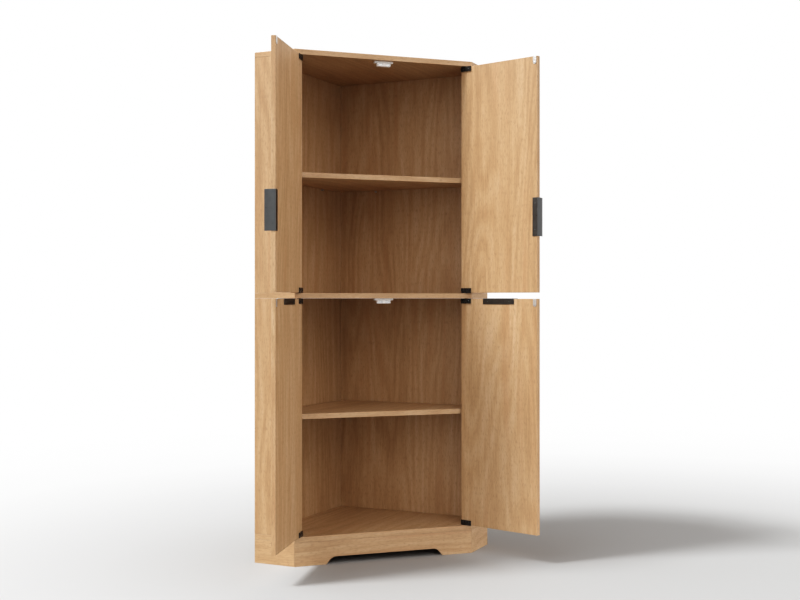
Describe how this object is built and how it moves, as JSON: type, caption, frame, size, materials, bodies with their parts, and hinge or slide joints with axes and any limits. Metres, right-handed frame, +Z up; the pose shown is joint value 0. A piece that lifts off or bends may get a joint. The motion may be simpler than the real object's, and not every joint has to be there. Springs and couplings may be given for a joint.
{
  "type": "corner cupboard",
  "caption": "Tall five-sided corner cupboard in oak laminate with pairs of hinged doors over shelves, angle pulls, magnetic catches and a cut-out plinth.",
  "frame": {"origin": "on the floor under the middle of the box round the cupboard, doors open as pictured", "axes": "+Z up, +Y from the doors towards the room corner, +X to the right of a viewer at the front"},
  "size_m": [0.9992, 0.833, 1.8],
  "materials": {
    "oak_laminate": "light oak woodgrain laminate, satin",
    "black_hinge": "black japanned steel, semi-gloss",
    "grey_pull": "dark grey lacquered metal angle, satin",
    "steel": "bright zinc-plated steel",
    "white_plastic": "white moulded plastic",
    "magnet": "ground steel pole plates on a ferrite magnet"
  },
  "bodies": {
    "cabinet": {"top_board": "oak_laminate", "middle_board": "oak_laminate", "bottom_board": "oak_laminate", "plinth_front_rail": "oak_laminate", "plinth_left_side_rail": "oak_laminate", "plinth_right_side_rail": "oak_laminate", "plinth_left_back_rail": "oak_laminate", "plinth_right_back_rail": "oak_laminate", "upper_shelf": "oak_laminate", "upper_catch_housing": "white_plastic", "upper_left_side_panel": "oak_laminate", "upper_left_back_panel": "oak_laminate", "upper_left_magnet": "magnet", "upper_shelf_pin_left_front": "steel", "upper_shelf_pin_left_back": "steel", "upper_left_top_hinge_socket": "black_hinge", "upper_left_bottom_hinge_socket": "black_hinge", "upper_right_side_panel": "oak_laminate", "upper_right_back_panel": "oak_laminate", "upper_right_magnet": "magnet", "upper_shelf_pin_right_front": "steel", "upper_shelf_pin_right_back": "steel", "upper_right_top_hinge_socket": "black_hinge", "upper_right_bottom_hinge_socket": "black_hinge", "lower_shelf": "oak_laminate", "lower_catch_housing": "white_plastic", "lower_left_side_panel": "oak_laminate", "lower_left_back_panel": "oak_laminate", "lower_left_magnet": "magnet", "lower_shelf_pin_left_front": "steel", "lower_shelf_pin_left_back": "steel", "lower_left_top_hinge_socket": "black_hinge", "lower_left_bottom_hinge_socket": "black_hinge", "lower_right_side_panel": "oak_laminate", "lower_right_back_panel": "oak_laminate", "lower_right_magnet": "magnet", "lower_shelf_pin_right_front": "steel", "lower_shelf_pin_right_back": "steel", "lower_right_top_hinge_socket": "black_hinge", "lower_right_bottom_hinge_socket": "black_hinge"},
    "upper_left_door_set": {"upper_left_door": "oak_laminate", "upper_left_pull": "grey_pull", "upper_left_strike_plate": "steel", "upper_left_top_hinge_leaf": "black_hinge", "upper_left_bottom_hinge_leaf": "black_hinge"},
    "upper_right_door_set": {"upper_right_door": "oak_laminate", "upper_right_pull": "grey_pull", "upper_right_strike_plate": "steel", "upper_right_top_hinge_leaf": "black_hinge", "upper_right_bottom_hinge_leaf": "black_hinge"},
    "lower_left_door_set": {"lower_left_door": "oak_laminate", "lower_left_pull": "grey_pull", "lower_left_strike_plate": "steel", "lower_left_top_hinge_leaf": "black_hinge", "lower_left_bottom_hinge_leaf": "black_hinge"},
    "lower_right_door_set": {"lower_right_door": "oak_laminate", "lower_right_pull": "grey_pull", "lower_right_strike_plate": "steel", "lower_right_top_hinge_leaf": "black_hinge", "lower_right_bottom_hinge_leaf": "black_hinge"}
  },
  "joints": [
    {"name": "upper_left_door_swing", "type": "hinge", "parent": "cabinet", "child": "upper_left_door_set", "pos_m": [-0.31656, -0.13872, 1.3665], "axis": [0, 0, -1], "range_deg": [-120, 40]},
    {"name": "upper_right_door_swing", "type": "hinge", "parent": "cabinet", "child": "upper_right_door_set", "pos_m": [0.31656, -0.13872, 1.3665], "axis": [0, 0, 1], "range_deg": [-120, 40]},
    {"name": "lower_left_door_swing", "type": "hinge", "parent": "cabinet", "child": "lower_left_door_set", "pos_m": [-0.31656, -0.13872, 0.5175], "axis": [0, 0, -1], "range_deg": [-120, 40]},
    {"name": "lower_right_door_swing", "type": "hinge", "parent": "cabinet", "child": "lower_right_door_set", "pos_m": [0.31656, -0.13872, 0.5175], "axis": [0, 0, 1], "range_deg": [-120, 40]}
  ]
}
